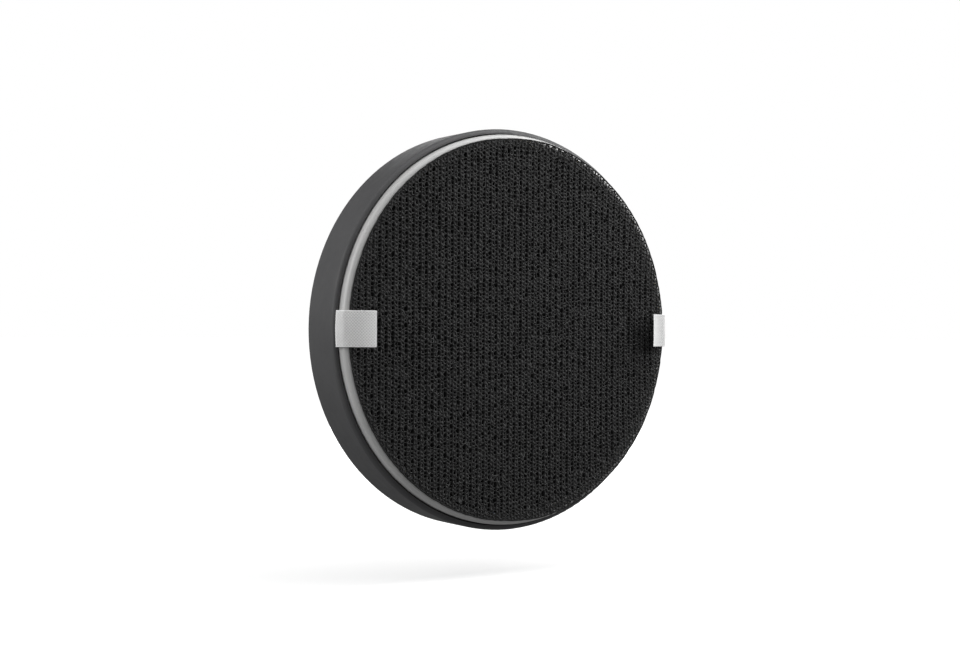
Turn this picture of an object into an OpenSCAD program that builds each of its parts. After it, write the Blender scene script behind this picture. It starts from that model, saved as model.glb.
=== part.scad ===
// Round air purifier filter cartridge.
// A dark outer frame holds a light core ring, which carries the filter media, a black front net
// and two woven pull tabs. The disc stands upright: its axis runs along Y, the net faces -Y and
// the rear seat lies in the plane y = 0. Depths are measured forward from that plane.

/* [Outer frame] */
// Outer diameter of the frame
frame_d = 235; // [225:1:250]
// Depth of the frame, from its rear rim to its front edge
frame_depth = 28.4; // [26:0.2:30]
// Thickness of the frame's wall
frame_wall = 2.9; // [2:0.1:3.4]
// Rounding of the frame's outer front edge
frame_edge_r = 2.6; // [1.2:0.1:2.8]
// Thickness of the rear lip that the stack rests on
frame_lip_t = 2.4; // [2:0.1:3]
// Depth of the gasket recess in the rear face
gasket_depth = 1.6; // [1:0.1:1.8]

/* [Core ring] */
// How far the core ring stands proud of the frame
core_proud = 5.6; // [5:0.1:8]
// Wall thickness of the core ring
core_wall = 2.8; // [2.4:0.1:3.2]
// Rounding of the core ring's outer front edge
core_edge_r = 3; // [2.5:0.1:3.2]
// Radial gap between the core ring and the frame, where the pull tabs pass
ring_gap = 0.8; // [0.75:0.01:0.9]

/* [Front net] */
// Thickness of the net
net_t = 0.5; // [0.4:0.1:0.6]
// Thickness of the glue ring that holds the net
net_glue_t = 0.2; // [0.1:0.05:0.3]
// How far the net reaches past the flat of the core ring, over its rounded edge
net_overhang = 1; // [0.5:0.1:1.2]

/* [Carbon layer] */
// Pitch of the carbon cloth's vertical pleats
carbon_pitch = 4.3; // [4:0.1:8]
// Thickness of the carbon cloth
carbon_t = 0.7; // [0.5:0.1:1]
// Thickness of the scrim behind the carbon cloth
scrim_t = 0.6; // [0.4:0.1:0.8]

/* [Fine filter] */
// Pitch of the fine media's pleats
media_pitch = 4; // [3.6:0.1:5]
// Height of the fine media's pleats
media_h = 16; // [14:0.5:16.5]
// Thickness of the fine media
media_t = 0.5; // [0.4:0.1:0.6]
// Distance between the glue beads that keep the pleats apart
bead_pitch = 26; // [20:1:35]
// Width of a glue bead
bead_w = 1.6; // [1:0.1:2.5]
// Height of a glue bead above the pleat tips
bead_h = 1.2; // [0.8:0.1:1.5]

/* [Rear guard] */
// Thickness of the guard
guard_t = 1.6; // [1.2:0.1:2]
// Width of the guard's bars
guard_bar = 2.4; // [1.8:0.1:3]
// Number of the guard's spokes
guard_spokes = 8; // [4:1:12]
// Thickness of the support net in front of the guard
rear_net_t = 0.6; // [0.4:0.1:0.8]

/* [Pull tabs] */
// Width of the webbing
tab_w = 20; // [16:0.5:25]
// Thickness of the webbing
tab_t = 0.5; // [0.3:0.05:0.5]
// Radius of the curl in the free flap
tab_curl_r = 22.3; // [18:0.1:30]
// Slope of the flap where it leaves the core ring
tab_start_slope = 8; // [4:1:12]
// Slope of the flap at its free end
tab_end_slope = 48.1; // [35:0.1:60]
// Depth at which the webbing ends, down in the ring gap
tab_root_depth = 12; // [11:0.5:14]
// Length of the adhesive pad behind the webbing
tab_pad_len = 10; // [8:0.5:12]

/* [Hidden] */
$fn = 240;
cut = 0.01;

frame_r = frame_d / 2;
frame_bore_r = frame_r - frame_wall;
lip_r = frame_r - 11.5;
lip_front = gasket_depth + frame_lip_t;
rim_r = frame_bore_r - 2.4;
bead_rim_w = 1.2;
bead_rim_inset = 0.2;
gasket_clear = 0.2;

core_r = frame_bore_r - ring_gap;
core_bore_r = core_r - core_wall;
core_front = frame_depth + core_proud;
core_lip_r = core_bore_r - 4;
core_lip_back = core_front - 2.2;
core_flat_r = core_r - core_edge_r;
core_flat_depth = core_front - core_edge_r;

guard_r = core_r - 0.2;
guard_open_r = lip_r;
guard_front = lip_front + guard_t;
guard_hub_r = 8;
guard_rings = 4;

rear_net_r = core_bore_r - 0.2;
rear_net_front = guard_front + rear_net_t;

band_t = 0.6;
potting_t = 1;
media_r = core_bore_r - potting_t - band_t - 0.1;
media_back = rear_net_front + bead_h;
media_front = media_back + media_h;
pack_front = media_front + bead_h;

scrim_front = pack_front + scrim_t;
carbon_r = core_lip_r - 0.6;
carbon_front = core_front - 0.2;

net_back = core_front + net_glue_t;
net_front = net_back + net_t;
net_r = core_flat_r + net_overhang;

pad_t = 0.15;
frame_glue_front = guard_front + 4.4;
tab_leaf_gap = 0.6;
wrap_in_r = core_edge_r + 1.1;
wrap_mid_r = wrap_in_r + tab_t / 2;
wrap_out_r = wrap_in_r + tab_t;
wrap_end = 90 - tab_start_slope;
tab_gap_in = core_r + pad_t;
tab_span = 2 * asin(tab_w / 2 / (tab_gap_in + tab_t));

// Turns a shape drawn with depth along Z so that it faces -Y.
module facing_front() {
    rotate([90, 0, 0]) children();
}

// A plain ring between two radii and two depths.
module ring(r_in, r_out, back, front) {
    facing_front() rotate_extrude() section(r_in, r_out, back, front);
}

// A flat ring outline between two radii.
module annulus(r_in, r_out) {
    difference() {
        circle(r = r_out);
        circle(r = r_in);
    }
}

// A plain disc between two depths.
module disc(r, back, front) {
    facing_front() translate([0, 0, back]) cylinder(r = r, h = front - back);
}

// The section of a ring, with its outer front corner rounded.
module round_corner(r_out, front, round_r) {
    difference() {
        union() children();
        difference() {
            translate([r_out - round_r, front - round_r]) square(round_r + cut);
            translate([r_out - round_r, front - round_r]) circle(r = round_r);
        }
    }
}

// A rectangle in a ring's section, between two radii and two depths.
module section(r_in, r_out, back, front) {
    translate([r_in, back]) square([r_out - r_in, front - back]);
}

// Points of an arc from angle a0 to angle a1 about a centre.
function arc(centre, r, a0, a1, n) = [
    for (i = [0 : n]) let (a = a0 + (a1 - a0) * i / n) centre + r * [cos(a), sin(a)]
];

function reversed(points) = [for (i = [len(points) - 1 : -1 : 0]) points[i]];

// Points of one side of a zigzag sheet that runs along x between two depths.
function zigzag(pitch, count, back, front) = [
    for (i = [0 : 2 * count]) [(i - count) * pitch / 2, i % 2 == 0 ? back : front]
];

// A pleated sheet cut to a disc, with its pleats standing upright along Z.
module pleated_disc(r, pitch, back, front, thickness) {
    count = 2 * ceil(r / pitch) + 2;
    flank = atan2(front - back - thickness, pitch / 2);
    rise = thickness / cos(flank);
    peak = front - rise;
    lower = zigzag(pitch, count, back, peak);
    upper = [for (p = reversed(lower)) p + [0, rise]];
    intersection() {
        linear_extrude(height = 2 * r + 2, center = true) mirror([0, 1]) polygon(concat(lower, upper));
        disc(r, back - 1, front + 1);
    }
}

// Bars laid across the pleats, each cut short by the round edge band.
module pleat_beads(back, front) {
    rows = floor(media_r / bead_pitch);
    for (i = [-rows : rows]) {
        z = i * bead_pitch;
        half = sqrt(pow(media_r, 2) - pow(abs(z) + bead_w, 2));
        translate([-half, -front, z - bead_w / 2]) cube([2 * half, front - back, bead_w]);
    }
}

// Draws a tab piece on the +X side, or its mirror image on the -X side.
module on_side(side) {
    mirror([side < 0 ? 1 : 0, 0, 0]) children();
}

// A stretch of webbing that lies flat across its width, from [radius, depth] points of its edge.
module flat_webbing(points) {
    linear_extrude(height = tab_w, center = true) mirror([0, 1]) polygon(points);
}

// A stretch that follows the core ring's curve across its width, from the same kind of points.
module curved_webbing(points) {
    facing_front() rotate([0, 0, -tab_span / 2]) rotate_extrude(angle = tab_span) polygon(points);
}

module outer_frame() {
    color("#4f4f50") facing_front() rotate_extrude()
        round_corner(frame_r, frame_depth, frame_edge_r) {
            section(frame_bore_r, frame_r, 0, frame_depth);
            section(lip_r, frame_bore_r + cut, gasket_depth, lip_front);
            section(rim_r, frame_bore_r + cut, 0, gasket_depth + cut);
            section(lip_r, lip_r + bead_rim_w, bead_rim_inset, gasket_depth + cut);
        }
}

module rear_gasket() {
    color("#1c1c1e") ring(lip_r + bead_rim_w + gasket_clear, rim_r - gasket_clear, 0, gasket_depth);
}

module rear_guard() {
    step = (guard_open_r - guard_bar) / (guard_rings + 1);
    color("#5a5b5d") facing_front() translate([0, 0, lip_front]) linear_extrude(height = guard_t) {
        annulus(guard_open_r, guard_r);
        circle(r = guard_hub_r);
        for (i = [1 : guard_rings]) annulus(i * step, i * step + guard_bar);
        for (i = [0 : guard_spokes - 1])
            rotate((i + 0.5) * 360 / guard_spokes)
                translate([guard_hub_r - 1, -guard_bar / 2])
                    square([guard_open_r - guard_hub_r + 2, guard_bar]);
    }
}

module rear_support_net() {
    color("#e8e8e4") disc(rear_net_r, guard_front, rear_net_front);
}

module core_ring() {
    color("#c9c9c8") facing_front() rotate_extrude()
        round_corner(core_r, core_front, core_edge_r) {
            section(core_bore_r, core_r, guard_front, core_front);
            section(core_lip_r, core_bore_r + cut, core_lip_back, core_front);
        }
}

module frame_glue_ring() {
    color("#d8cfae") ring(core_r, frame_bore_r, guard_front, frame_glue_front);
}

module potting_ring() {
    color("#e6e0cf") ring(core_bore_r - potting_t, core_bore_r, rear_net_front, pack_front);
}

module media_edge_band() {
    color("#f2f2ee")
        ring(core_bore_r - potting_t - band_t, core_bore_r - potting_t, rear_net_front, pack_front);
}

module hepa_pleats() {
    color("#f4f4f0") pleated_disc(media_r, media_pitch, media_back, media_front, media_t);
}

module front_pleat_beads() {
    color("#f0ead6") pleat_beads(media_front, pack_front);
}

module rear_pleat_beads() {
    color("#f0ead6") pleat_beads(rear_net_front, media_back);
}

module carbon_scrim() {
    color("#3a3a3c") disc(rear_net_r, pack_front, scrim_front);
}

module carbon_frame() {
    color("#303032") ring(carbon_r + 0.2, rear_net_r, scrim_front, core_lip_back);
}

module carbon_pleats() {
    color("#1a1a1b") pleated_disc(carbon_r, carbon_pitch, scrim_front, carbon_front, carbon_t);
}

module net_glue_ring() {
    color("#242425") ring(core_lip_r + 0.5, core_flat_r - 0.5, core_front, net_back);
}

module front_net() {
    color("#242425") disc(net_r, net_back, net_front);
}

module tab_flap(side) {
    pivot_arm = wrap_mid_r * [cos(wrap_end), sin(wrap_end)];
    pivot = [core_flat_r, core_flat_depth] + pivot_arm;
    centre = pivot + tab_curl_r * [cos(wrap_end), sin(wrap_end)];
    start = 180 + wrap_end - tab_leaf_gap / tab_curl_r * 180 / PI;
    end = 270 - tab_end_slope;
    outline = concat(
        arc(centre, tab_curl_r - tab_t / 2, start, end, 14),
        arc(centre, tab_curl_r + tab_t / 2, end, start, 14)
    );
    color("#dededc") on_side(side) flat_webbing(outline);
}

module tab_anchor(side) {
    centre = [core_flat_r, core_flat_depth];
    stop = wrap_end - tab_leaf_gap / wrap_mid_r * 180 / PI;
    outline = concat(
        [[tab_gap_in, tab_root_depth], [tab_gap_in, frame_depth]],
        arc(centre, wrap_in_r, 0, stop, 12),
        arc(centre, wrap_out_r, stop, 0, 12),
        [[tab_gap_in + tab_t, frame_depth], [tab_gap_in + tab_t, tab_root_depth]]
    );
    color("#dededc") on_side(side) curved_webbing(outline);
}

module tab_adhesive(side) {
    pad = [
        [core_r, tab_root_depth],
        [tab_gap_in, tab_root_depth],
        [tab_gap_in, tab_root_depth + tab_pad_len],
        [core_r, tab_root_depth + tab_pad_len]
    ];
    color("#cfc8a8") on_side(side) curved_webbing(pad);
}

module left_tab_flap() {
    tab_flap(-1);
}

module left_tab_anchor() {
    tab_anchor(-1);
}

module left_tab_adhesive() {
    tab_adhesive(-1);
}

module right_tab_flap() {
    tab_flap(1);
}

module right_tab_anchor() {
    tab_anchor(1);
}

module right_tab_adhesive() {
    tab_adhesive(1);
}

outer_frame();
rear_gasket();
rear_guard();
rear_support_net();
core_ring();
frame_glue_ring();
potting_ring();
media_edge_band();
hepa_pleats();
front_pleat_beads();
rear_pleat_beads();
carbon_scrim();
carbon_frame();
carbon_pleats();
net_glue_ring();
front_net();
left_tab_flap();
left_tab_anchor();
left_tab_adhesive();
right_tab_flap();
right_tab_anchor();
right_tab_adhesive();
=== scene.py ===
"""Looks of a round air purifier filter cartridge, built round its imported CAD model.

Everything is in metres, in the CAD model's frame. The disc stands upright with its axis along Y and
its net facing -Y. "Depth" is the distance in front of the rear rim, so a point's y is minus its depth.
"""

import math

import bpy
import numpy as np
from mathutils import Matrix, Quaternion, Vector


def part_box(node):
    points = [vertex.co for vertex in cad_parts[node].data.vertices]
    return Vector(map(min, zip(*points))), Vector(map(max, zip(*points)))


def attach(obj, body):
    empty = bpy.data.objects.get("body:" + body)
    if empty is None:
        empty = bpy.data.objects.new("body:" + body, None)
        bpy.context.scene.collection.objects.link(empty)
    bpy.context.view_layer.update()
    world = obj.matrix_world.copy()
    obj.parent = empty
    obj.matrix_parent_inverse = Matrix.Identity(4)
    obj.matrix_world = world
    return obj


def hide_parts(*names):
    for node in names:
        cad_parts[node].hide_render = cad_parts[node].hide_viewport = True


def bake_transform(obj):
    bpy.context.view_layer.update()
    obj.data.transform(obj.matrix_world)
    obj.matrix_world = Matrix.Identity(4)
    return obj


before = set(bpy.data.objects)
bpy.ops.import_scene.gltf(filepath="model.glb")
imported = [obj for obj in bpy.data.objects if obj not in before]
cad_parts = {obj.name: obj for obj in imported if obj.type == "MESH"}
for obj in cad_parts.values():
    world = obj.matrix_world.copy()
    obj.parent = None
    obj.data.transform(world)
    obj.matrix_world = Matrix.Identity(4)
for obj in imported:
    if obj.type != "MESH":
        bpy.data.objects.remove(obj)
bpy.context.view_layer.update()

MM = 0.001
TURN = 2 * math.pi
UP = Vector((0, 0, 1))
SEED = 7


# ---------------------------------------------------------------- sizes read from the frame


def radius_of(node):
    """A round node's outer radius."""
    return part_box(node)[1].z


def depths_of(node):
    """A node's back and front depth."""
    low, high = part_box(node)
    return -high.y, -low.y


def to_micrometre(*sizes):
    """Those sizes, without the rounding errors that the frame's file leaves in them."""
    return tuple(round(size, 6) for size in sizes)


FRAME_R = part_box("outer_frame")[1].x
NET_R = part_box("front_net")[1].x
NET_BACK, NET_FRONT = depths_of("front_net")
CORE_R, CORE_FRONT = to_micrometre(radius_of("core_ring"), depths_of("core_ring")[1])


# ---------------------------------------------------------------- camera, light and floor

CAMERA_AZIMUTH = math.radians(-33.68)
CAMERA_DISTANCE = 7.4 * FRAME_R
CAMERA_SHIFT_RIGHT = -0.0178 * FRAME_R
CAMERA_SHIFT_UP = -0.0025 * FRAME_R
CAMERA_ROLL = math.radians(0.31)
CAMERA_LENS = 54.07

# The floor glows towards the camera, less so near the object, where the lights add the rest.
# It lights the object by its bounce alone.
FLOOR_Z = -1.23 * FRAME_R
FLOOR_HALF_SIZE = 20
FLOOR_GREY = 0.5
NEAR_GLOW, FAR_GLOW = 0.6, 0.99
GLOW_START, GLOW_END = 0.1, 0.85
FLOOR_BOUNCE = 0.207
STUDIO_LIGHT = 0.2

# Each soft light's name, azimuth, elevation and power. All are square and equally far away.
SOFTBOX_SIZE = 0.8
SOFTBOX_DISTANCE = 1.2
SOFTBOXES = [
    ("left_softbox", -88, 15, 6.4),
    ("side_left_softbox", -130, 20, 1.8),
    ("upper_left_softbox", -90, 50, 1.6),
    ("upper_front_softbox", 35, 50, 4.9),
    ("upper_right_softbox", 70, 45, 6.9),
    ("front_right_softbox", 60, 20, 4.8),
    ("top_softbox", 0, 80, 3.4),
    ("rear_softbox", 145, 12, 6.0),
]


def direction(azimuth, elevation):
    """The unit vector towards something seen at that azimuth and elevation, in degrees.

    Azimuth 0 is in front of the disc, towards -Y, and 90 is towards +X."""
    a, e = math.radians(azimuth), math.radians(elevation)
    return Vector((math.sin(a) * math.cos(e), -math.cos(a) * math.cos(e), math.sin(e)))


def add_camera():
    """The photo's camera: to the left of the disc's front, level with it and aimed a little aside."""
    back = Vector((math.sin(CAMERA_AZIMUTH), -math.cos(CAMERA_AZIMUTH), 0))
    right = Vector((math.cos(CAMERA_AZIMUTH), math.sin(CAMERA_AZIMUTH), 0))
    data = bpy.data.cameras.new("camera")
    data.lens = CAMERA_LENS
    data.sensor_width = 36
    data.clip_start = 0.05
    data.clip_end = 50
    camera = bpy.data.objects.new("camera", data)
    camera.location = back * CAMERA_DISTANCE + right * CAMERA_SHIFT_RIGHT + UP * CAMERA_SHIFT_UP
    roll = Quaternion((0, 0, 1), CAMERA_ROLL)
    camera.rotation_euler = ((-back).to_track_quat("-Z", "Y") @ roll).to_euler()
    bpy.context.scene.collection.objects.link(camera)
    bpy.context.scene.camera = camera


def add_softbox(name, azimuth, elevation, power):
    """A soft square light that faces the disc's middle."""
    data = bpy.data.lights.new(name, "AREA")
    data.shape = "SQUARE"
    data.size = SOFTBOX_SIZE
    data.energy = power
    light = bpy.data.objects.new(name, data)
    towards = direction(azimuth, elevation)
    light.location = towards * SOFTBOX_DISTANCE
    light.rotation_euler = towards.to_track_quat("Z", "Y").to_euler()
    bpy.context.scene.collection.objects.link(light)


def end_tree(tree, output_type, seen, lighting):
    """Ends a node tree in one shader for the camera and another for the light it throws."""
    path = tree.nodes.new("ShaderNodeLightPath")
    mix = tree.nodes.new("ShaderNodeMixShader")
    output = tree.nodes.new(output_type)
    tree.links.new(path.outputs["Is Camera Ray"], mix.inputs["Fac"])
    tree.links.new(lighting, mix.inputs[1])
    tree.links.new(seen, mix.inputs[2])
    tree.links.new(mix.outputs["Shader"], output.inputs["Surface"])


def add_world():
    """A studio that is light above and dark below, with a white backdrop behind the object."""
    world = bpy.data.worlds.new("studio")
    bpy.context.scene.world = world
    world.use_nodes = True
    nodes, links = world.node_tree.nodes, world.node_tree.links
    nodes.clear()
    coordinate = nodes.new("ShaderNodeTexCoord")
    split = nodes.new("ShaderNodeSeparateXYZ")
    height = nodes.new("ShaderNodeMapRange")
    height.inputs["From Min"].default_value = -0.6
    height.inputs["From Max"].default_value = 0.9
    height.inputs["To Max"].default_value = STUDIO_LIGHT
    studio = nodes.new("ShaderNodeBackground")
    backdrop = nodes.new("ShaderNodeBackground")
    backdrop.inputs["Color"].default_value = (1, 1, 1, 1)
    links.new(coordinate.outputs["Generated"], split.inputs["Vector"])
    links.new(split.outputs["Z"], height.inputs["Value"])
    links.new(height.outputs["Result"], studio.inputs["Strength"])
    end_tree(world.node_tree, "ShaderNodeOutputWorld", backdrop.outputs[0], studio.outputs[0])


def floor_material():
    """A pale surface that shows a faint shadow and throws little light back up."""
    material = bpy.data.materials.new("pale_floor")
    material.use_nodes = True
    nodes, links = material.node_tree.nodes, material.node_tree.links
    nodes.clear()
    pale = nodes.new("ShaderNodeBsdfDiffuse")
    pale.inputs["Color"].default_value = (FLOOR_GREY, FLOOR_GREY, FLOOR_GREY, 1)
    glow = nodes.new("ShaderNodeEmission")
    place = nodes.new("ShaderNodeTexCoord")
    distance = nodes.new("ShaderNodeVectorMath")
    distance.operation = "LENGTH"
    spread = nodes.new("ShaderNodeMapRange")
    spread.interpolation_type = "SMOOTHSTEP"
    spread.inputs["From Min"].default_value = GLOW_START
    spread.inputs["From Max"].default_value = GLOW_END
    spread.inputs["To Min"].default_value = NEAR_GLOW
    spread.inputs["To Max"].default_value = FAR_GLOW
    lit = nodes.new("ShaderNodeAddShader")
    bounce = nodes.new("ShaderNodeEmission")
    bounce.inputs["Strength"].default_value = FLOOR_BOUNCE
    links.new(place.outputs["Object"], distance.inputs[0])
    links.new(distance.outputs["Value"], spread.inputs["Value"])
    links.new(spread.outputs["Result"], glow.inputs["Strength"])
    links.new(pale.outputs["BSDF"], lit.inputs[0])
    links.new(glow.outputs["Emission"], lit.inputs[1])
    end_tree(material.node_tree, "ShaderNodeOutputMaterial", lit.outputs[0], bounce.outputs[0])
    return material


def add_floor():
    """A plain pale floor below the disc."""
    signs = ((-1, -1), (1, -1), (1, 1), (-1, 1))
    corners = [(x * FLOOR_HALF_SIZE, y * FLOOR_HALF_SIZE, FLOOR_Z) for x, y in signs]
    mesh = bpy.data.meshes.new("floor")
    mesh.from_pydata(corners, [], [(0, 1, 2, 3)])
    mesh.materials.append(floor_material())
    floor = bpy.data.objects.new("floor", mesh)
    bpy.context.scene.collection.objects.link(floor)


# ---------------------------------------------------------------- materials


class Paint:
    """A material's node tree, with the few kinds of node that these materials need."""

    # Noise seldom leaves this range, so the ramps run over it.
    RAMP = (0.3, 0.7)

    def __init__(self, name, coordinates="Object"):
        self.material = bpy.data.materials.new(name)
        self.material.use_nodes = True
        self.nodes = self.material.node_tree.nodes
        self.links = self.material.node_tree.links
        self.shader = self.nodes["Principled BSDF"]
        self.position = self.nodes.new("ShaderNodeTexCoord").outputs[coordinates]

    def set(self, **values):
        """Sets the shader's own sockets; an underscore in a name stands for a space."""
        for name, value in values.items():
            self.shader.inputs[name.replace("_", " ")].default_value = value

    def stretch(self, x, y, z):
        """The position, scaled by a factor along each axis."""
        node = self.nodes.new("ShaderNodeMapping")
        node.inputs["Scale"].default_value = (x, y, z)
        self.links.new(self.position, node.inputs["Vector"])
        return node.outputs["Vector"]

    def noise(self, size, detail=3.0, position=None):
        """Noise with blotches of about that size, in metres."""
        node = self.nodes.new("ShaderNodeTexNoise")
        node.inputs["Scale"].default_value = 1 / size
        node.inputs["Detail"].default_value = detail
        self.links.new(position or self.position, node.inputs["Vector"])
        return node.outputs["Fac"]

    def cells(self, size):
        """The distance to the nearest of scattered points that lie about that far apart."""
        node = self.nodes.new("ShaderNodeTexVoronoi")
        node.inputs["Scale"].default_value = 1 / size
        self.links.new(self.position, node.inputs["Vector"])
        return node.outputs["Distance"]

    def ramp(self, value, low, high):
        """A number or a colour that goes from low to high as value runs over RAMP."""
        if isinstance(low, tuple):
            node = self.nodes.new("ShaderNodeValToRGB")
            for stop, place, colour in zip(node.color_ramp.elements, self.RAMP, (low, high)):
                stop.color = (*colour, 1)
                stop.position = place
            self.links.new(value, node.inputs["Fac"])
            return node.outputs["Color"]
        node = self.nodes.new("ShaderNodeMapRange")
        node.inputs["From Min"].default_value = self.RAMP[0]
        node.inputs["From Max"].default_value = self.RAMP[1]
        node.inputs["To Min"].default_value = low
        node.inputs["To Max"].default_value = high
        self.links.new(value, node.inputs["Value"])
        return node.outputs["Result"]

    def colour(self, value, low, high):
        """A base colour that value takes from low to high."""
        self.links.new(self.ramp(value, low, high), self.shader.inputs["Base Color"])

    def tinted(self, colour, value, low, high):
        """Uses a colour, made darker or lighter by value."""
        node = self.nodes.new("ShaderNodeMix")
        node.data_type = "RGBA"
        node.blend_type = "MULTIPLY"
        node.inputs["Factor"].default_value = 1.0
        self.links.new(colour, node.inputs["A"])
        self.links.new(self.ramp(value, (low, low, low), (high, high, high)), node.inputs["B"])
        self.links.new(node.outputs["Result"], self.shader.inputs["Base Color"])

    def roughness(self, value, low, high):
        """A roughness that value takes from low to high."""
        self.links.new(self.ramp(value, low, high), self.shader.inputs["Roughness"])

    def bump(self, value, height, below=None):
        """Raises the surface by value times height, in metres, on top of an earlier bump."""
        node = self.nodes.new("ShaderNodeBump")
        node.inputs["Strength"].default_value = 1.0
        node.inputs["Distance"].default_value = height
        self.links.new(value, node.inputs["Height"])
        if below:
            self.links.new(below, node.inputs["Normal"])
        self.links.new(node.outputs["Normal"], self.shader.inputs["Normal"])
        return node.outputs["Normal"]


def moulded_plastic(name, dark, light, rough, grain=0.3 * MM, grain_height=0.03 * MM, shine=0.4):
    """Moulded plastic with a fine spark-eroded grain and faint cloudiness."""
    paint = Paint(name)
    paint.set(Specular_IOR_Level=shine)
    cloud = paint.noise(30 * MM, 2.0)
    paint.colour(cloud, dark, light)
    paint.roughness(paint.noise(6 * MM, 4.0), rough - 0.05, rough + 0.07)
    fine = paint.bump(paint.noise(grain, 5.0), grain_height)
    paint.bump(cloud, 0.1 * MM, fine)
    return paint.material


def fibre_material(name, dark, light, sheen, fibre=0.25 * MM):
    """Non-woven or felted fibre: fine threads in all directions, with thicker and thinner places."""
    paint = Paint(name)
    paint.set(Specular_IOR_Level=0.25, Sheen_Weight=sheen, Sheen_Roughness=0.5)
    threads = paint.noise(fibre, 6.0)
    paint.colour(paint.noise(3 * MM, 4.0), dark, light)
    paint.roughness(threads, 0.8, 0.98)
    fine = paint.bump(threads, 0.05 * MM)
    paint.bump(paint.noise(1.6 * MM, 3.0), 0.1 * MM, fine)
    return paint.material


def net_yarn():
    """Dark polyester yarn: filaments along the strands and a dull sheen."""
    paint = Paint("net_yarn")
    paint.set(Specular_IOR_Level=0.3, Sheen_Weight=0.15, Sheen_Roughness=0.4)
    filaments = paint.noise(0.12 * MM, 5.0, paint.stretch(1, 1, 0.35))
    paint.colour(paint.noise(0.9 * MM, 3.0), (0.0077, 0.0077, 0.0077), (0.0157, 0.0157, 0.0162))
    paint.roughness(filaments, 0.6, 0.9)
    paint.bump(filaments, 0.05 * MM)
    return paint.material


def tape_yarn():
    """White woven tape: soft matte yarns, shaded a little by the fibres' run, with a colour that carries
    painted shade where yarns dip under and a painted highlight towards the free end and along the melted
    edges.
    """
    paint = Paint("tape_yarn", "UV")
    paint.set(Specular_IOR_Level=0.25, Sheen_Weight=0.2, Sheen_Roughness=0.5, Subsurface_Weight=0.6)
    paint.shader.inputs["Subsurface Radius"].default_value = (1, 1, 1)
    paint.shader.inputs["Subsurface Scale"].default_value = 0.6 * MM
    fibres = paint.noise(0.09 * MM, 5.0, paint.stretch(1, 0.4, 1))
    painted_tape_light = paint.nodes.new("ShaderNodeAttribute")
    painted_tape_light.attribute_name = "painted_tape_light"
    # The attribute read here holds painted light: painted shade where the yarns dip under, and a painted
    # highlight towards the free end and along the melted edges.
    threads = paint.ramp(painted_tape_light.outputs["Fac"], (0.79, 0.79, 0.785), (1.0, 1.0, 0.995))
    paint.tinted(threads, paint.noise(0.6 * MM, 4.0), 0.97, 1.0)
    paint.roughness(fibres, 0.75, 0.95)
    paint.bump(fibres, 0.03 * MM)
    return paint.material


def foam():
    """Closed-cell foam: fine open pits on the cut skin."""
    paint = Paint("gasket_foam")
    paint.set(Specular_IOR_Level=0.3)
    pits = paint.cells(0.45 * MM)
    paint.colour(paint.noise(2 * MM, 4.0), (0.010, 0.010, 0.011), (0.022, 0.022, 0.024))
    paint.roughness(pits, 0.85, 0.7)
    fine = paint.bump(pits, 0.12 * MM)
    paint.bump(paint.noise(4 * MM, 2.0), 0.2 * MM, fine)
    return paint.material


def glue(name, dark, light):
    """Set hot-melt or potting glue: slightly translucent, with a smooth uneven skin."""
    paint = Paint(name)
    paint.set(Specular_IOR_Level=0.5, Subsurface_Weight=0.3, Subsurface_Scale=1.5 * MM)
    paint.shader.inputs["Subsurface Radius"].default_value = (1.0, 0.8, 0.5)
    paint.colour(paint.noise(5 * MM, 3.0), dark, light)
    paint.roughness(paint.noise(1.5 * MM, 3.0), 0.3, 0.5)
    paint.bump(paint.noise(2.5 * MM, 2.0), 0.15 * MM)
    return paint.material


# ---------------------------------------------------------------- mesh helpers


def make_piece(name, points, faces, material, uv=None, weight=None):
    """A smooth mesh object from an array of points and an array of faces.

    uv gives each point a place on the sheet, and weight a number that its material reads."""
    mesh = bpy.data.meshes.new(name)
    mesh.from_pydata(np.asarray(points).tolist(), [], [list(face) for face in faces])
    mesh.polygons.foreach_set("use_smooth", [True] * len(mesh.polygons))
    if uv is not None:
        layer = mesh.uv_layers.new(name="UVMap")
        corner_points = np.empty(len(mesh.loops), np.int32)
        mesh.loops.foreach_get("vertex_index", corner_points)
        layer.data.foreach_set("uv", np.asarray(uv, np.float32)[corner_points].ravel())
    if weight is not None:
        layer = mesh.attributes.new("painted_tape_light", "FLOAT", "POINT")
        layer.data.foreach_set("value", np.asarray(weight, np.float32))
    mesh.validate()
    mesh.materials.append(material)
    obj = bpy.data.objects.new(name, mesh)
    bpy.context.scene.collection.objects.link(obj)
    return obj


def grid_faces(rows, columns, wrap_rows=False, wrap_columns=False, first=0, flip=False):
    """Quads over a grid of points numbered row by row, from the point numbered first."""
    down = np.arange(rows if wrap_rows else rows - 1)
    across = np.arange(columns if wrap_columns else columns - 1)
    i, j = (a.ravel() for a in np.meshgrid(down, across, indexing="ij"))
    next_i, next_j = (i + 1) % rows, (j + 1) % columns
    faces = np.stack(
        [i * columns + j, i * columns + next_j, next_i * columns + next_j, next_i * columns + j], axis=1
    )
    return first + (faces[:, ::-1] if flip else faces)


def border_of_grid(rows, columns):
    """The numbers of a grid's outer points, in order round it."""
    top = np.arange(columns)
    right = np.arange(1, rows) * columns + columns - 1
    bottom = (rows - 1) * columns + np.arange(columns - 2, -1, -1)
    left = np.arange(rows - 2, 0, -1) * columns
    return np.concatenate([top, right, bottom, left])


def sheet_faces(rows, columns):
    """The faces of a closed sheet whose front grid of points is followed by its back grid."""
    count = rows * columns
    border = border_of_grid(rows, columns)
    after = np.roll(border, -1)
    edge = np.stack([border, border + count, after + count, after], axis=1)
    front = grid_faces(rows, columns)
    back = grid_faces(rows, columns, first=count, flip=True)
    return np.concatenate([front, back, edge])


def from_disc(x, depth, z):
    """Points given by their place on the disc and their depth, as rows of x, y, z."""
    return np.stack([np.ravel(x), -np.ravel(depth), np.ravel(z)], axis=1)


def smooth_step(value, start, end):
    """0 before start, 1 after end, and a smooth rise between them."""
    t = np.clip((value - start) / (end - start), 0, 1)
    return t * t * (3 - 2 * t)


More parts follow.
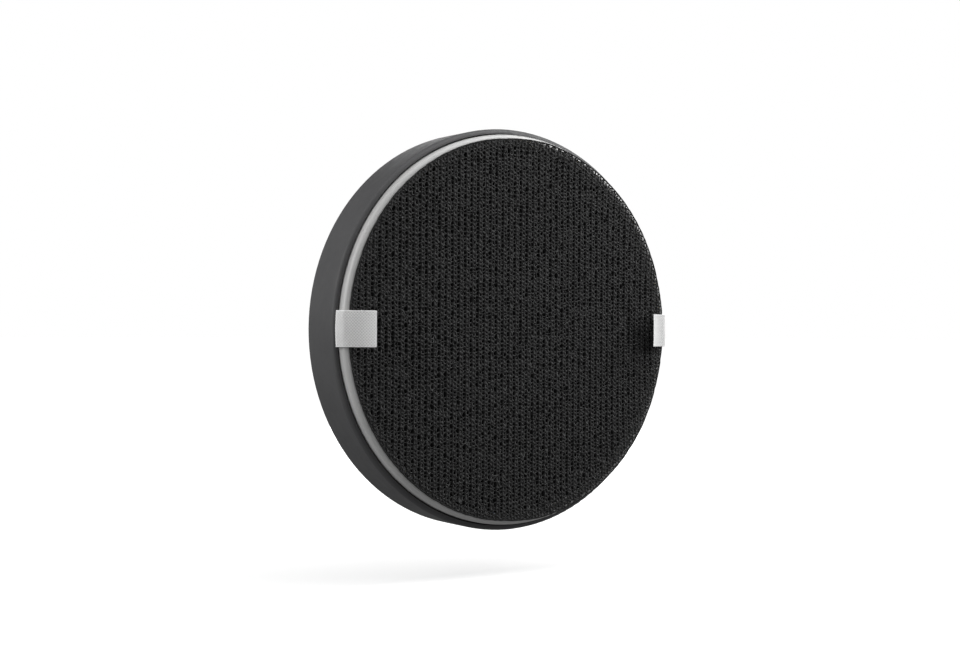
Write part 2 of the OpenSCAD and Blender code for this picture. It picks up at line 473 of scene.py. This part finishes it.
def wander(random, places, wavelength, height):
    """Smooth random ups and downs along an array of places."""
    total = np.zeros(len(places))
    for octave in (1, 1.7, 2.9):
        phase = random.uniform(0, TURN)
        total += np.sin(TURN * octave * places / wavelength + phase) / octave
    return total * height / 1.6


def directions_along(line):
    """The unit vectors along a row of points."""
    along = np.gradient(line, axis=0)
    return along / np.linalg.norm(along, axis=1)[:, None]


def full_turn(count):
    """That many angles, evenly round a circle."""
    return np.linspace(0, TURN, count, endpoint=False)


def round_axis(angle, radius, depth):
    """Points at those radii and depths, with a row for each angle round the disc's axis."""
    radius = np.broadcast_to(radius, (len(angle), np.shape(radius)[-1]))
    depth = np.broadcast_to(depth, radius.shape)
    return from_disc(radius * np.sin(angle)[:, None], depth, radius * np.cos(angle)[:, None])


def turned_ring(name, outline, segments, material, wobble=0.0, random=None):
    """A ring: a closed outline of (radius, depth) points taken round the disc's axis.

    With a wobble, a dozen random waves of that height run round it."""
    angle = full_turn(segments)
    depth = np.repeat(outline[None, :, 1], segments, axis=0)
    if wobble:
        for waves in random.integers(9, 60, 12):
            depth += wobble * np.sin(waves * angle + random.uniform(0, TURN))[:, None]
    points = round_axis(angle, outline[:, 0], depth)
    return make_piece(name, points, grid_faces(segments, len(outline), True, True, flip=True), material)


def rounded_outline(inner, outer, back, front, count, squareness):
    """The outline of a ring's section: a rectangle with well rounded corners, as (radius, depth)."""
    angle = full_turn(count)
    across = np.sign(np.cos(angle)) * np.abs(np.cos(angle)) ** (2 / squareness)
    along = np.sign(np.sin(angle)) * np.abs(np.sin(angle)) ** (2 / squareness)
    radius = (inner + outer) / 2 + across * (outer - inner) / 2
    depth = (back + front) / 2 + along * (front - back) / 2
    return np.stack([radius, depth], axis=1)


def strand(centre, side, half_width, half_height, sides):
    """A closed strand round a row of centre points, as points and faces.

    side is the unit vector across it in the disc's plane. The sizes may differ from point to point."""
    count = len(centre)
    angle = full_turn(sides)
    across = np.broadcast_to(half_width, count)[:, None, None] * np.cos(angle)[None, :, None]
    up = np.broadcast_to(half_height, count)[:, None, None] * np.sin(angle)[None, :, None]
    ring = centre[:, None, :] + across * np.asarray(side)[None, None, :] + up * np.array([0, -1, 0])
    points = ring.reshape(-1, 3)
    faces = [list(face) for face in grid_faces(count, sides, False, True)]
    faces.append(list(range(sides)))
    faces.append([(count - 1) * sides + j for j in reversed(range(sides))])
    return points, faces


def join_strands(name, strands, material):
    """One mesh object from many (points, faces) pairs."""
    all_points, all_faces, first = [], [], 0
    for points, faces in strands:
        all_points.append(points)
        all_faces.extend([index + first for index in face] for face in faces)
        first += len(points)
    return make_piece(name, np.concatenate(all_points), all_faces, material)


# ---------------------------------------------------------------- front net

# The knit reaches out to a thread round its edge, about two NET_RIMs wide.
NET_RIM = 0.42 * MM
NET_TRIM = 0.35 * MM
NET_OUTER_R = NET_R - NET_TRIM
NET_REACH = NET_OUTER_R - 2 * NET_RIM
NET_SHIFT = 0.45 * MM
RIM_SEGMENTS = 330
RIM_RAGGED = 0.0011

# The knit's regular pattern, how far its columns and knots stray from it, and its uneven height.
NET_COLUMN = 2.15 * MM
NET_ROW = 2.3 * MM
SPARE_CELLS = 4
COLUMN_DRIFT = 0.9 * MM
KNOT_JITTER_X, KNOT_JITTER_Z = 0.34 * MM, 0.52 * MM
CREST_SPREAD, HOLE_HEIGHT_SPREAD = 0.05 * MM, 0.04 * MM
PLEAT_PRINT, SLACK = 0.07 * MM, 0.05 * MM

# How much of a cell its hole takes: in every second column, in the others and along the right
# edge, and how much that varies from cell to cell and from corner to corner.
OPEN_HOLE, CLOSE_HOLE, RIGHT_EDGE_HOLE = 0.63, 0.23, 0.58
HOLE_SPREAD, CORNER_SPREAD = 0.14, 0.07
RIGHT_EDGE_WIDTH = 2.4 * MM

GLUE_OUTER_R, GLUE_INNER_R = CORE_R - 3.05 * MM, CORE_R - 6.85 * MM
GLUE_RIPPLE = 0.12 * MM
GLUE_RIGHT_TRIM = 0.55 * MM
CORE_BORE_R = CORE_R - 6.8 * MM
CARBON_PITCH = 4.3 * MM


def net_lift(x, z):
    """How far the net rises and sinks as it lies over the pleats. Near its edge it lies flat."""
    over_pleats = PLEAT_PRINT * np.cos(TURN * x / CARBON_PITCH)
    slack = SLACK * np.sin(z / (9 * MM) + x / (23 * MM))
    return (over_pleats + slack) * smooth_step(NET_REACH - np.hypot(x, z), 1 * MM, 9 * MM)


def knit_cells(random):
    """The x and z of the knots, each cell's six knots in order, and which cells have a wide hole."""
    columns = 2 * (int(NET_REACH / NET_COLUMN) + SPARE_CELLS) + 1
    rows = 2 * (int(NET_REACH / NET_ROW) + SPARE_CELLS) + 1
    i, j = np.meshgrid(np.arange(columns), np.arange(rows), indexing="ij")
    cell_x = (i - columns // 2) * NET_COLUMN
    cell_z = (j - rows // 2 + 0.5 * (i % 2)) * NET_ROW
    drift = [wander(random, z, random.uniform(9, 22) * MM, COLUMN_DRIFT) for z in cell_z]
    cell_z = cell_z + np.array(drift)

    # Each cell owns its top right and top left knots; its other four belong to its neighbours.
    aside = NET_COLUMN / 2 - NET_ROW**2 / (8 * NET_COLUMN)
    knot_x = np.stack([cell_x + aside, cell_x - aside])
    knot_z = np.stack([cell_z + NET_ROW / 2] * 2)
    knot_x = knot_x + random.uniform(-KNOT_JITTER_X, KNOT_JITTER_X, knot_x.shape)
    knot_z = knot_z + random.uniform(-KNOT_JITTER_Z, KNOT_JITTER_Z, knot_z.shape)
    distance = np.hypot(knot_x, knot_z)
    outside = distance > NET_REACH
    right_top = np.arange(columns * rows).reshape(columns, rows)
    left_top = right_top + columns * rows

    def owned_by(knots, step_i, step_j):
        """That knot of the cell so many columns and rows away."""
        return np.roll(knots, (-step_i, -step_j), axis=(0, 1))

    odd = i % 2 == 1
    right = np.where(odd, owned_by(left_top, 1, 0), owned_by(left_top, 1, -1))
    left = np.where(odd, owned_by(right_top, -1, 0), owned_by(right_top, -1, -1))
    around = [right_top, right, owned_by(right_top, 0, -1), owned_by(left_top, 0, -1), left, left_top]
    corners = np.stack(around, axis=-1)

    # Knots beyond the reach are pulled back onto it, and cells with no knot within it are left out.
    # The outermost cells, whose neighbours np.roll takes from the far side, never count.
    inner = np.zeros((columns, rows), bool)
    inner[2:-2, 2:-2] = True
    keep = inner & ~outside.ravel()[corners].all(axis=-1)
    pull = np.where(outside, NET_REACH / distance, 1)
    return (knot_x * pull).ravel(), (knot_z * pull).ravel(), corners[keep], ~odd[keep]


def cell_holes(random, corner_x, corner_z, wide):
    """The outline of each cell's hole: its corners drawn in towards its middle."""
    middle_x = corner_x.mean(axis=1)[:, None]
    middle_z = corner_z.mean(axis=1)[:, None]
    share = np.where(wide, OPEN_HOLE, CLOSE_HOLE)[:, None]
    share = share + random.normal(0, HOLE_SPREAD, len(corner_x))[:, None]
    at_edge = np.hypot(middle_x, middle_z) > NET_REACH - RIGHT_EDGE_WIDTH
    share = np.where(at_edge & (middle_x > NET_REACH / 2), RIGHT_EDGE_HOLE, share)
    share = np.clip(share, 0.15, 0.8) + random.normal(0, CORNER_SPREAD, corner_x.shape)
    return middle_x + (corner_x - middle_x) * share, middle_z + (corner_z - middle_z) * share


def knit_mesh(random):
    """The knit's points and faces.

    Each knot has a front and a back point, and each corner of a hole has one point between them."""
    knot_x, knot_z, corners, wide = knit_cells(random)
    hole_x, hole_z = cell_holes(random, knot_x[corners], knot_z[corners], wide)
    middle = (NET_BACK + NET_FRONT) / 2
    crest = (NET_FRONT - NET_BACK) / 2 - np.abs(random.normal(0, CREST_SPREAD, len(knot_x)))
    lift = net_lift(knot_x, knot_z)
    front = from_disc(knot_x, middle + lift + crest, knot_z)
    back = from_disc(knot_x, middle + lift - crest, knot_z)
    uneven = random.normal(0, HOLE_HEIGHT_SPREAD, hole_x.shape)
    holes = from_disc(hole_x, middle + net_lift(hole_x, hole_z) + uneven, hole_z)

    knots = len(knot_x)
    hole = 2 * knots + np.arange(corners.size).reshape(corners.shape)
    next_corner = np.roll(corners, -1, axis=1)
    next_hole = np.roll(hole, -1, axis=1)
    front_faces = np.stack([corners, next_corner, next_hole, hole], axis=-1).reshape(-1, 4)
    back_faces = np.stack([corners + knots, hole, next_hole, next_corner + knots], axis=-1).reshape(-1, 4)

    # A side that no neighbouring cell shares lies on the outer edge, which is closed by a face.
    sides = np.stack([corners, next_corner], axis=-1).reshape(-1, 2)
    shared = set(map(tuple, sides[:, ::-1].tolist()))
    start, end = np.array([side for side in sides.tolist() if tuple(side) not in shared]).T
    edge_faces = np.stack([end, start, start + knots, end + knots], axis=1)
    faces = np.concatenate([front_faces, back_faces, edge_faces])
    used, faces = np.unique(faces, return_inverse=True)
    return np.concatenate([front, back, holes])[used], faces.reshape(-1, 4)


def net_rim(random, first):
    """The slightly ragged thread round the net's edge; its points are numbered from first."""
    outline = rounded_outline(NET_OUTER_R - 2.2 * NET_RIM, NET_OUTER_R, NET_BACK, NET_FRONT, 6, 2)
    ragged = 1 - np.abs(random.normal(0, RIM_RAGGED, RIM_SEGMENTS))
    radius = outline[None, :, 0] * ragged[:, None]
    points = round_axis(full_turn(RIM_SEGMENTS), radius, outline[:, 1])
    return points, grid_faces(RIM_SEGMENTS, len(outline), True, True, first=first, flip=True)


def shift_to_right(points):
    """Moves the net a little to the right, and its right edge further out over the core ring."""
    x, z = points[:, 0] + NET_SHIFT, points[:, 2]
    distance, angle = np.hypot(x, z), np.arctan2(z, x)
    to_right = smooth_step(np.cos(angle), -0.08, 0.24) * smooth_step(distance, 0.8 * NET_REACH, NET_REACH)
    stretch = (0.25 + 0.85 * smooth_step(np.abs(np.sin(angle)), 0.2, 0.65)) * MM
    spread = 1 + to_right * stretch / NET_REACH
    return np.stack([x * spread, points[:, 1], z * spread], axis=1)


def knit_net(random, material):
    """A knitted net: uneven six-sided holes between strands that are thickest along their middle."""
    points, faces = knit_mesh(random)
    rim_points, rim_faces = net_rim(random, len(points))
    points = shift_to_right(np.concatenate([points, rim_points]))
    obj = make_piece("front_net_knit", points, np.concatenate([faces, rim_faces]), material)
    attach(obj, "cartridge")
    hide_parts("front_net")


def net_glue(material):
    """The black glue under the net's edge: an uneven ring, narrower along the right side."""
    back, front = depths_of("net_glue_ring")
    segments, sides = 400, 8
    angle, around = full_turn(segments), full_turn(sides)
    right = np.clip((np.sin(angle) - 0.35) / 0.4, 0, 1)
    outer = GLUE_OUTER_R - GLUE_RIGHT_TRIM * right
    outer += GLUE_RIPPLE * np.sin(37 * angle) * np.sin(11 * angle + 1)
    inner = GLUE_INNER_R + GLUE_RIPPLE * np.sin(29 * angle + 2) * np.sin(7 * angle)
    inner = np.maximum(inner, CORE_BORE_R)
    radius = (outer + inner)[:, None] / 2 + (outer - inner)[:, None] / 2 * np.cos(around)
    depth = (back + front) / 2 + (front - back) / 2 * np.sin(around)
    faces = grid_faces(segments, sides, True, True, flip=True)
    obj = make_piece("net_glue_bead", round_axis(angle, radius, depth), faces, material)
    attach(obj, "cartridge")
    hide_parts("net_glue_ring")


# ---------------------------------------------------------------- pleated sheets

FINE_PITCH = 4 * MM
END_MARGIN = 1.2 * MM
TIP_POINTS = 7
FLANK_POINTS = 3


def fold_line(half_span, pitch, height, fold_radius):
    """The middle line of a sheet folded to and fro, as (x, height above the middle) points."""
    span, rise = pitch / 2, height - 2 * fold_radius
    lean = math.atan2(span, rise) - math.asin(2 * fold_radius / math.hypot(span, rise))
    most = math.pi / 2 - lean

    def tip_point(tip, turn):
        """The point where the round tip of that number has turned so far from its middle."""
        up = height / 2 - fold_radius + fold_radius * math.cos(turn)
        return np.array([tip * span + fold_radius * math.sin(turn), up if tip % 2 == 0 else -up])

    tips = int(half_span / span)
    line = []
    for tip in range(-tips, tips + 1):
        line += [tip_point(tip, share * most) for share in np.linspace(-1, 1, TIP_POINTS)]
        if tip < tips:
            start, end = line[-1], tip_point(tip + 1, -most)
            line += [start + (end - start) * share for share in np.linspace(0, 1, FLANK_POINTS + 2)[1:-1]]
    return np.array(line)


def pleated_sheet(name, node, random, material, *, pitch, thickness, fold_radius, rows, sway):
    """A round pleated sheet whose folds stand upright, with its flat length and area."""
    radius = radius_of(node)
    back, front = depths_of(node)
    line = fold_line(radius - END_MARGIN - pitch / 4, pitch, front - back - thickness, fold_radius)
    along = directions_along(line)
    normal = np.stack([-along[:, 1], along[:, 0]], axis=1)
    half_chord = np.sqrt((radius - thickness) ** 2 - line[:, 0] ** 2)
    z = np.linspace(-1, 1, rows)[:, None] * half_chord

    # The folds sway a little from side to side as they rise.
    sway_x = np.zeros_like(z)
    for wave in range(4):
        drift = random.uniform(0, TURN) + line[:, 0] * random.uniform(60, 400)
        sway_x += sway / 2 * np.sin(z * TURN / random.uniform(20 * MM, 90 * MM) + drift)
    grids = []
    for side in (1, -1):
        x = line[:, 0] + side * thickness / 2 * normal[:, 0] + sway_x
        depth = (back + front) / 2 + line[:, 1] + side * thickness / 2 * normal[:, 1]
        grids.append(from_disc(x, np.broadcast_to(depth, z.shape), z))
    obj = make_piece(name, np.concatenate(grids), sheet_faces(rows, len(line)), material)
    steps = np.linalg.norm(np.diff(line, axis=0), axis=1)
    chords = 2 * np.sqrt(radius**2 - line[:, 0] ** 2)
    area = float(np.sum(steps * (chords[1:] + chords[:-1]) / 2))
    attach(obj, "cartridge")
    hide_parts(node)
    return obj, float(steps.sum()), area


def carbon_pleats(random, material):
    name, node = "carbon_pleat_cloth", "carbon_pleats"
    sizes = dict(pitch=CARBON_PITCH, thickness=0.7 * MM, fold_radius=0.7 * MM, rows=36, sway=0.08 * MM)
    obj, length, area = pleated_sheet(name, node, random, material, **sizes)


def fine_pleats(random, material):
    name, node = "fine_pleat_paper", "hepa_pleats"
    sizes = dict(pitch=FINE_PITCH, thickness=0.5 * MM, fold_radius=0.55 * MM, rows=26, sway=0.12 * MM)
    obj, length, area = pleated_sheet(name, node, random, material, **sizes)


# ---------------------------------------------------------------- beads, support net, scrim, band, gasket

BEAD_SPACING = 26 * MM
BEADS_EACH_WAY = 4
BEAD_HALF_WIDTH = 0.8 * MM
STRAND_PITCH = 5 * MM
STRAND_HALF_WIDTH, KNOT_SWELL = 0.42 * MM, 0.16 * MM
STRAND_JITTER, STRAND_SWAY = 0.12 * MM, 0.12 * MM
SHORTEST_HALF_STRAND = 6 * MM
SCRIM_HALF = 0.22 * MM
FLEECE_THICKNESS = 0.6 * MM
GASKET_WIDTH = 4.6 * MM
GASKET_WOBBLE = 0.003 * MM


def pleat_beads(node, name, random, material):
    """Hot-melt beads across the pleat tips: ridges that swell between the pleats."""
    back, front = depths_of(node)
    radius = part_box(node)[1].x
    strands = []
    for i in range(-BEADS_EACH_WAY, BEADS_EACH_WAY + 1):
        z = i * BEAD_SPACING
        half = math.sqrt(radius**2 - z**2) - END_MARGIN
        x = np.linspace(-half, half, int(2 * half / (0.8 * MM)))
        swell = 0.86 + 0.12 * np.cos(TURN * x / FINE_PITCH) + wander(random, x, 17 * MM, 0.03)
        size = swell * np.sqrt(np.clip(1 - (np.abs(x) / half) ** 24, 0.05, 1))
        wavy_z = z + wander(random, x, 60 * MM, 0.25 * MM)
        centre = from_disc(x, np.full_like(x, (back + front) / 2), wavy_z)
        strands.append(strand(centre, (0, 0, 1), BEAD_HALF_WIDTH * size, (front - back) / 2 * size, 10))
    obj = join_strands(name, strands, material)
    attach(obj, "cartridge")
    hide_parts(node)


def support_net(random, material):
    """An extruded plastic net: two layers of straight strands that cross and fuse."""
    radius = radius_of("rear_support_net")
    back, front = depths_of("rear_support_net")
    thick = front - back
    reach = int(radius / STRAND_PITCH)
    diagonal = math.sqrt(0.5)
    strands = []
    for layer, slant in ((0.62, 1), (0.38, -1)):
        along = np.array([diagonal, 0, slant * diagonal])
        side = np.array([-slant * diagonal, 0, diagonal])
        for i in range(-reach, reach + 1):
            offset = i * STRAND_PITCH + random.normal(0, STRAND_JITTER)
            half = math.sqrt(max(radius**2 - offset**2, 0)) - 0.3 * MM
            if half < SHORTEST_HALF_STRAND:
                continue
            t = np.linspace(-half, half, int(half / (0.7 * MM)))
            knot = np.cos(math.pi * t / STRAND_PITCH) ** 8
            aside = offset + wander(random, t, 70 * MM, STRAND_SWAY)
            centre = t[:, None] * along + aside[:, None] * side
            centre[:, 1] = -(back + thick * (layer + (0.5 - layer) * 0.6 * knot))
            half_width = STRAND_HALF_WIDTH + KNOT_SWELL * knot
            strands.append(strand(centre, side, half_width, thick * (0.36 + 0.05 * knot), 8))
    obj = join_strands("support_net_strands", strands, material)
    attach(obj, "cartridge")
    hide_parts("rear_support_net")


def scrim_cloth(material):
    """A round cloth that lies a little unevenly on the pleat tips."""
    radius = radius_of("carbon_scrim")
    back, front = depths_of("carbon_scrim")
    rings, spokes = 59, 180
    reach = np.linspace(0, 1, rings + 1)[1:] * (radius - 0.1 * MM)
    r, a = np.meshgrid(reach, full_turn(spokes), indexing="ij")
    x, z = r * np.sin(a), r * np.cos(a)
    uneven = 0.05 * MM * np.cos(TURN * x / FINE_PITCH) * np.cos(z / (7 * MM))
    middle = (back + front) / 2 + uneven * (1 - (r / radius) ** 6)
    front_grid = from_disc(x, middle + SCRIM_HALF, z)
    back_grid = from_disc(x, middle - SCRIM_HALF, z)
    centre_depths = (back + front) / 2 + np.array([SCRIM_HALF, -SCRIM_HALF])
    centres = from_disc(np.zeros(2), centre_depths, np.zeros(2))
    count = rings * spokes
    faces = grid_faces(rings, spokes, False, True, flip=True).tolist()
    faces += grid_faces(rings, spokes, False, True, first=count).tolist()
    edge = count - spokes
    for k in range(spokes):
        n = (k + 1) % spokes
        faces.append([2 * count, k, n])
        faces.append([2 * count + 1, count + n, count + k])
        faces.append([edge + k, count + edge + k, count + edge + n, edge + n])
    points = np.concatenate([front_grid, back_grid, centres])
    obj = make_piece("carbon_scrim_cloth", points, faces, material)
    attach(obj, "cartridge")
    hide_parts("carbon_scrim")


def edge_band(material):
    """The fleece strip that is glued round the pleat pack."""
    radius = radius_of("media_edge_band")
    back, front = depths_of("media_edge_band")
    outline = rounded_outline(radius - FLEECE_THICKNESS, radius, back, front, 40, 9)
    obj = turned_ring("media_edge_fleece", outline, 360, material)
    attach(obj, "cartridge")
    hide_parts("media_edge_band")


def gasket_foam(random, material):
    """The foam gasket: a flat ring with soft edges and a slightly uneven face."""
    back, front = depths_of("rear_gasket")
    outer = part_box("rear_gasket")[1].x
    outline = rounded_outline(outer - GASKET_WIDTH, outer, back, front, 28, 5)
    outline[:, 1] = np.clip(outline[:, 1], back + 0.02 * MM, front)
    obj = turned_ring("rear_gasket_foam", outline, 420, material, GASKET_WOBBLE, random)
    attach(obj, "cartridge")
    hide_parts("rear_gasket")


# ---------------------------------------------------------------- pull tabs

TAPE_HALF_WIDTH = 10 * MM
YARN = 0.85 * MM
STEPS_PER_YARN = 6
CUT_CORNER_R = 0.7 * MM
MELTED_HEIGHT = 0.20 * MM
WEFT_DRIFT, WARP_DRIFT = 0.12 * MM, 0.10 * MM
FLAP_CROWN = 0.12 * MM

# The tape's course, in radius and depth: straight up the core ring's side, out over the frame's
# edge in a curve whose first three corners are LEAN, round the core ring's edge in an arc that
# bulges where it starts, and away from it in a wide arc that bends the other way.
CORE_EDGE_R = 3 * MM
TAPE_SIDE_R = CORE_R + 0.4 * MM
ROOT_DEPTH = CORE_FRONT - 22 * MM
LEAN = (
    (TAPE_SIDE_R, CORE_FRONT - 5.95 * MM),
    (TAPE_SIDE_R, CORE_FRONT - 4.0 * MM),
    (CORE_R + 5.1 * MM, CORE_FRONT - 6.2 * MM),
)
WRAP_CENTRE = (CORE_R - CORE_EDGE_R, CORE_FRONT - CORE_EDGE_R)
WRAP_RADIUS = 4.35 * MM
WRAP_START, WRAP_END = math.radians(37), math.radians(82)
WRAP_BULGE = 0.22 * MM
BULGE_END = math.radians(70)
FLAP_RADIUS = 22.3 * MM
FLAP_TURN = math.radians(40.1)
FLAP_CENTRE = to_micrometre(
    WRAP_CENTRE[0] + (WRAP_RADIUS + FLAP_RADIUS) * math.cos(WRAP_END),
    WRAP_CENTRE[1] + (WRAP_RADIUS + FLAP_RADIUS) * math.sin(WRAP_END),
)


def arc(centre, radius, turn):
    """The points of an arc, as rows of radius and depth."""
    return np.stack([centre[0] + radius * np.cos(turn), centre[1] + radius * np.sin(turn)], axis=1)


def tape_line():
    """The tape's middle line as evenly spaced (radius, depth) points, root first.

    Also gives each point's length along the tape, and the length at which the joint turns it."""
    climb = np.linspace(ROOT_DEPTH, LEAN[0][1], 300)
    root = np.stack([np.full_like(climb, TAPE_SIDE_R), climb], axis=1)
    turn = np.linspace(WRAP_START, WRAP_END, 200)
    bulge = WRAP_BULGE * (1 - smooth_step(turn, WRAP_START, BULGE_END))
    wrap = arc(WRAP_CENTRE, WRAP_RADIUS + bulge, turn)
    t = np.linspace(0, 1, 100)[1:-1, None]
    corners = [np.array(corner) for corner in LEAN] + [wrap[0]]
    weights = [(1 - t) ** 3, 3 * (1 - t) ** 2 * t, 3 * (1 - t) * t**2, t**3]
    lean = sum(weight * corner for weight, corner in zip(weights, corners))
    back_turn = WRAP_END + math.pi - np.linspace(0, FLAP_TURN, 400)[1:]
    flap = arc(FLAP_CENTRE, FLAP_RADIUS, back_turn)
    dense = np.concatenate([root, lean, wrap, flap])
    length = np.concatenate([[0], np.cumsum(np.linalg.norm(np.diff(dense, axis=0), axis=1))])
    count = int(round(length[-1] / YARN * STEPS_PER_YARN)) + 1
    even = np.linspace(0, length[-1], count)
    line = np.stack([np.interp(even, length, dense[:, k]) for k in (0, 1)], axis=1)
    return line, even, length[len(root) + len(lean) + len(wrap) - 1]


def plain_weave(u, v):
    """The height of the upper and lower faces of a plain weave at (u, v), counted in yarns.

    The yarns along the tape bulge more than those across it. The third result is 1 where a yarn
    along the tape lies on top, and 0 where one across it does."""
    warp_wave = np.cos(math.pi * (u - 0.5)) * np.where(np.floor(v) % 2 == 0, 1, -1)
    weft_wave = -np.cos(math.pi * (v - 0.5)) * np.where(np.floor(u) % 2 == 0, 1, -1)
    warp_round = np.abs(np.cos(math.pi * (v - np.floor(v) - 0.5))) ** 0.6
    weft_round = np.abs(np.cos(math.pi * (u - np.floor(u) - 0.5))) ** 0.6
    faces = []
    for side in (1, -1):
        warp = side * 0.07 * warp_wave + 0.17 * warp_round
        weft = side * 0.05 * weft_wave + 0.11 * weft_round
        faces.append(np.maximum(np.maximum(warp, weft), 0.06) * MM)
    return faces[0], faces[1], 0.5 + 0.5 * warp_wave * warp_round - 0.25 * np.abs(weft_wave) * weft_round


def tape_half_width(length):
    """Half the tape's width at each length along it, with the cut end's corners rounded.

    Each corner stops just short of a full quarter circle, so that the edge never turns square."""
    into_end = np.clip(length - (length[-1] - CUT_CORNER_R), 0, CUT_CORNER_R)
    rounded = TAPE_HALF_WIDTH - CUT_CORNER_R + np.sqrt(CUT_CORNER_R**2 - 0.998 * into_end**2)
    wavy = 1 + 0.002 * np.sin(math.pi * length / YARN)
    return rounded * wavy


def tape_faces(u, v, drift_u, drift_v, pivot_at):
    """The heights of the tape's two faces over its middle, and how light its yarns are painted: painted
    shade of the weave and painted highlights.

    The weave is closed and smooth along the selvedges and along the cut end, which was melted."""
    upper, lower, on_top = plain_weave((u + drift_u) / YARN, (v + drift_v) / YARN)
    to_end = u[-1, 0] - u
    to_edge = TAPE_HALF_WIDTH - np.abs(v)
    open_weave = np.minimum(
        smooth_step(to_edge, 0.15 * MM, 0.75 * MM), smooth_step(to_end, 0.25 * MM, 0.95 * MM)
    )
    melted = 1 - open_weave
    rim = np.sqrt(np.clip(np.minimum(to_edge, to_end) / (0.28 * MM), 0.02, 1))
    upper = (upper * open_weave + MELTED_HEIGHT * melted) * rim
    lower = (lower * open_weave + MELTED_HEIGHT * melted) * rim
    # Painted light: the yarns are painted darker where they dip under the crossing yarns, a painted shade
    # that is weaker before the pivot. The last 14 mm before the free end get a painted highlight, and the
    # melted edges are painted lighter as a highlight.
    bent = 1 - 0.8 * smooth_step(pivot_at - u, 0, 3 * MM)
    light = 0.55 + (on_top - 0.5) * 1.1 * bent + 0.32 * (1 - smooth_step(to_end, 0, 14 * MM))
    return upper, lower, np.clip(light * open_weave + 0.9 * melted, 0, 1)


def tape_place(line, u, v, height, pivot_at):
    """The radius and depth of points at those heights over the tape's middle.

    The root lies round the core ring, and the flap is flat across but for a slight crown."""
    along = directions_along(line)
    round_ring = 1 - smooth_step(u, pivot_at - 5.5 * MM, pivot_at + 1.5 * MM)
    crown = FLAP_CROWN * (v / TAPE_HALF_WIDTH) ** 2 * smooth_step(u, pivot_at + 4 * MM, u[-1, 0])
    radius = line[:, :1] + (height - crown) * along[:, 1:]
    depth = line[:, 1:] - (height - crown) * along[:, :1]
    curved = np.sqrt(radius**2 - v**2)
    return radius + (curved - radius) * round_ring, depth


def pull_tab(name, sign, replaced, random, material):
    """One woven tab: glued in behind the frame, bent round the ring's shoulder, with a free flap.

    sign is -1 for the tab on the left and 1 for the one on the right."""
    line, length, pivot_at = tape_line()
    columns = int(round(2 * TAPE_HALF_WIDTH / YARN * STEPS_PER_YARN)) + 1
    across = np.linspace(-1, 1, columns)
    v = across[None, :] * tape_half_width(length)[:, None]
    u = np.repeat(length[:, None], columns, axis=1)
    drift_u = wander(random, across * TAPE_HALF_WIDTH, 14 * MM, WEFT_DRIFT)[None, :]
    drift_v = wander(random, length, 11 * MM, WARP_DRIFT)[:, None]
    upper, lower, light = tape_faces(u, v, drift_u, drift_v, pivot_at)
    grids = []
    for height in (upper, -lower):
        radius, depth = tape_place(line, u, v, height, pivot_at)
        grids.append(from_disc(sign * radius, depth, v))
    faces = sheet_faces(len(length), columns)
    if sign > 0:
        faces = faces[:, ::-1]
    uv = np.stack([u.ravel(), v.ravel()], axis=1)
    # The tape's painted light, which its material reads.
    painted_tape_light = light.ravel()
    obj = make_piece(
        name,
        np.concatenate(grids),
        faces,
        material,
        uv=np.concatenate([uv, uv]),
        weight=np.concatenate([painted_tape_light, painted_tape_light]),
    )
    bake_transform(obj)
    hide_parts(*replaced)


# ---------------------------------------------------------------- everything together


def finish_with(node, material):
    """Gives a CAD node's object that one material."""
    obj = bpy.data.objects[node]
    for slot in obj.material_slots:
        slot.material = material


def finish_cad_nodes(melt):
    """Gives the nodes that keep their CAD shape their materials."""
    finishes = {
        "outer_frame": moulded_plastic(
            "frame_plastic", (0.069, 0.069, 0.071), (0.079, 0.079, 0.081), 0.55, grain=0.35 * MM
        ),
        "core_ring": moulded_plastic(
            "core_plastic", (0.504, 0.504, 0.50), (0.558, 0.558, 0.553), 0.3, shine=0.65
        ),
        "rear_guard": moulded_plastic("guard_plastic", (0.09, 0.09, 0.092), (0.11, 0.11, 0.112), 0.5),
        "frame_glue_ring": melt,
        "potting_ring": glue("potting", (0.70, 0.68, 0.60), (0.80, 0.78, 0.70)),
        "carbon_frame": fibre_material("carbon_board", (0.03, 0.03, 0.03), (0.05, 0.05, 0.05), 0.05),
        "left_tab_adhesive": melt,
        "right_tab_adhesive": melt,
    }
    for node, material in finishes.items():
        finish_with(node, material)


def build_pieces(random, melt):
    """Builds the pieces that are modelled here, in the order in which they draw random numbers."""
    black_glue = glue("net_glue", (0.02, 0.02, 0.02), (0.04, 0.04, 0.04))
    cloth = fibre_material("carbon_cloth", (0.018, 0.018, 0.018), (0.034, 0.034, 0.034), 0.02)
    paper = fibre_material("fine_media", (0.86, 0.86, 0.84), (0.93, 0.93, 0.91), 0.1, fibre=0.15 * MM)
    net_plastic = moulded_plastic(
        "support_net", (0.70, 0.70, 0.69), (0.78, 0.78, 0.77), 0.4, grain=0.4 * MM, grain_height=0.02 * MM
    )
    scrim = fibre_material("carbon_scrim", (0.05, 0.05, 0.052), (0.09, 0.09, 0.092), 0.2)
    fleece = fibre_material("edge_fleece", (0.72, 0.72, 0.70), (0.82, 0.82, 0.80), 0.2)
    tape = tape_yarn()
    knit_net(random, net_yarn())
    net_glue(black_glue)
    carbon_pleats(random, cloth)
    fine_pleats(random, paper)
    pleat_beads("rear_pleat_beads", "rear_bead_lines", random, melt)
    pleat_beads("front_pleat_beads", "front_bead_lines", random, melt)
    support_net(random, net_plastic)
    scrim_cloth(scrim)
    edge_band(fleece)
    gasket_foam(random, foam())
    pull_tab("left_tab_webbing", -1, ("left_tab_anchor", "left_tab_flap"), random, tape)
    pull_tab("right_tab_webbing", 1, ("right_tab_anchor", "right_tab_flap"), random, tape)


add_camera()
add_world()
for softbox in SOFTBOXES:
    add_softbox(*softbox)
add_floor()
bpy.context.scene.view_settings.view_transform = "Standard"
hot_melt = glue("hot_melt", (0.62, 0.58, 0.48), (0.75, 0.71, 0.60))
finish_cad_nodes(hot_melt)
build_pieces(np.random.default_rng(SEED), hot_melt)
